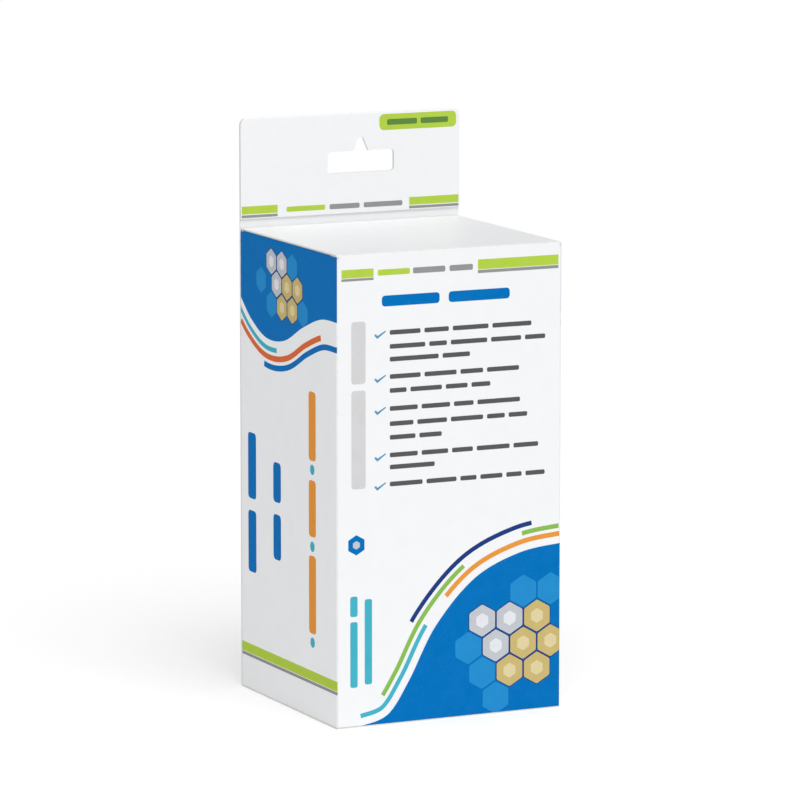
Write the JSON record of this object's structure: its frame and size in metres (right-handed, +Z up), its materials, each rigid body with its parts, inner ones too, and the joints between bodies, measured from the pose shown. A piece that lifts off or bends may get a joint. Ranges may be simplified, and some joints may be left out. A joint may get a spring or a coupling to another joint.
{
  "type": "hang-tab folding carton",
  "caption": "Tall paperboard retail carton with a hinged tuck-in lid, dust flaps, glued bottom and a folded-over header with a hang slot.",
  "frame": {"origin": "under the middle of the carton, on the surface that it stands on", "axes": "+Z up, the front wall faces -Y, +X to the right seen from the front"},
  "size_m": [0.08, 0.076, 0.1892],
  "materials": {
    "printed_board": "satin clay-coated white paperboard with offset print in blue, lime, grey, teal and orange",
    "plain_board": "matt uncoated inner side of white paperboard"
  },
  "bodies": {
    "carton": {"carton_sleeve": "printed_board", "hang_panel": "printed_board", "bottom_outer_flap": "printed_board", "bottom_inner_flap": "plain_board", "bottom_dust_flap_left": "plain_board", "bottom_dust_flap_right": "plain_board"},
    "lid": {"lid_panel": "printed_board"},
    "tuck": {"tuck_flap": "printed_board"},
    "dust_left": {"dust_flap_left": "printed_board"},
    "dust_right": {"dust_flap_right": "printed_board"}
  },
  "joints": [
    {"name": "lid_crease", "type": "hinge", "parent": "carton", "child": "lid", "pos_m": [0, 0.0368, 0.1525], "axis": [-1, 0, 0], "range_deg": [0, 80]},
    {"name": "tuck_crease", "type": "hinge", "parent": "lid", "child": "tuck", "pos_m": [0, -0.03665, 0.1525], "axis": [1, 0, 0], "range_deg": [0, 70]},
    {"name": "dust_left_crease", "type": "hinge", "parent": "carton", "child": "dust_left", "pos_m": [-0.0394, 0, 0.1519], "axis": [0, 1, 0], "range_deg": [0, 85]},
    {"name": "dust_right_crease", "type": "hinge", "parent": "carton", "child": "dust_right", "pos_m": [0.0394, 0, 0.1519], "axis": [0, -1, 0], "range_deg": [0, 85]}
  ]
}
